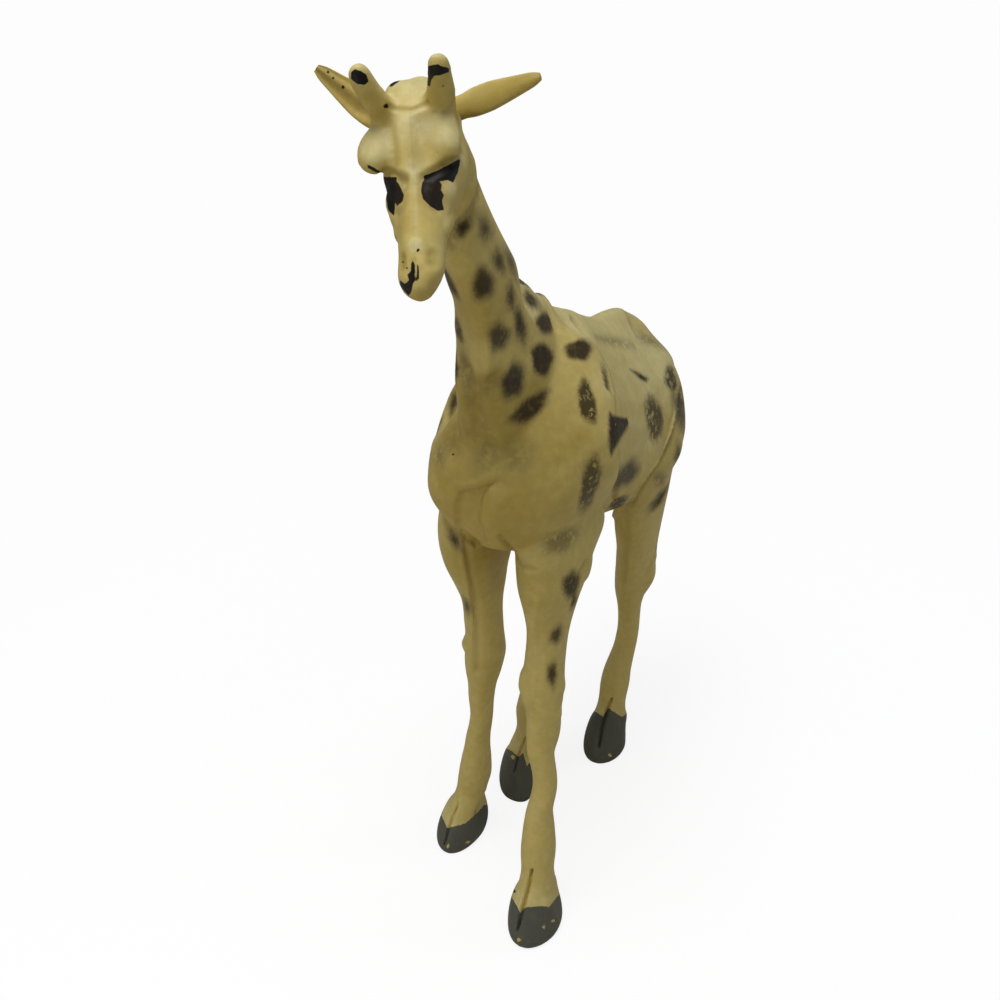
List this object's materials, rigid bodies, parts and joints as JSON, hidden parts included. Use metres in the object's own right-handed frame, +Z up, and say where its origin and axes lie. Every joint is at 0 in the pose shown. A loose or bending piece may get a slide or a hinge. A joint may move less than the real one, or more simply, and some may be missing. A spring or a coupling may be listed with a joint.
{
  "type": "toy giraffe figure",
  "caption": "Standing toy giraffe of hollow ivory plastic glued from moulded shells, with painted brown spots and dark hooves, its head turned to its left.",
  "frame": {"origin": "on the ground under the middle of the figure's bounding box", "axes": "+Z up, the animal walks towards -Y and its left side is +X"},
  "size_m": [0.0622, 0.2004, 0.2941],
  "materials": {
    "ivory_plastic": "yellowed ivory hard plastic with a soft sheen, airbrushed brown spots and dark grey painted hooves"
  },
  "bodies": {
    "root": {"body_left_half": "ivory_plastic", "body_right_half": "ivory_plastic", "foreleg_left_inner": "ivory_plastic", "foreleg_right_inner": "ivory_plastic", "hindleg_left_inner": "ivory_plastic", "hindleg_right_inner": "ivory_plastic", "ear_left": "ivory_plastic", "ear_right": "ivory_plastic", "tail": "ivory_plastic"}
  },
  "joints": []
}
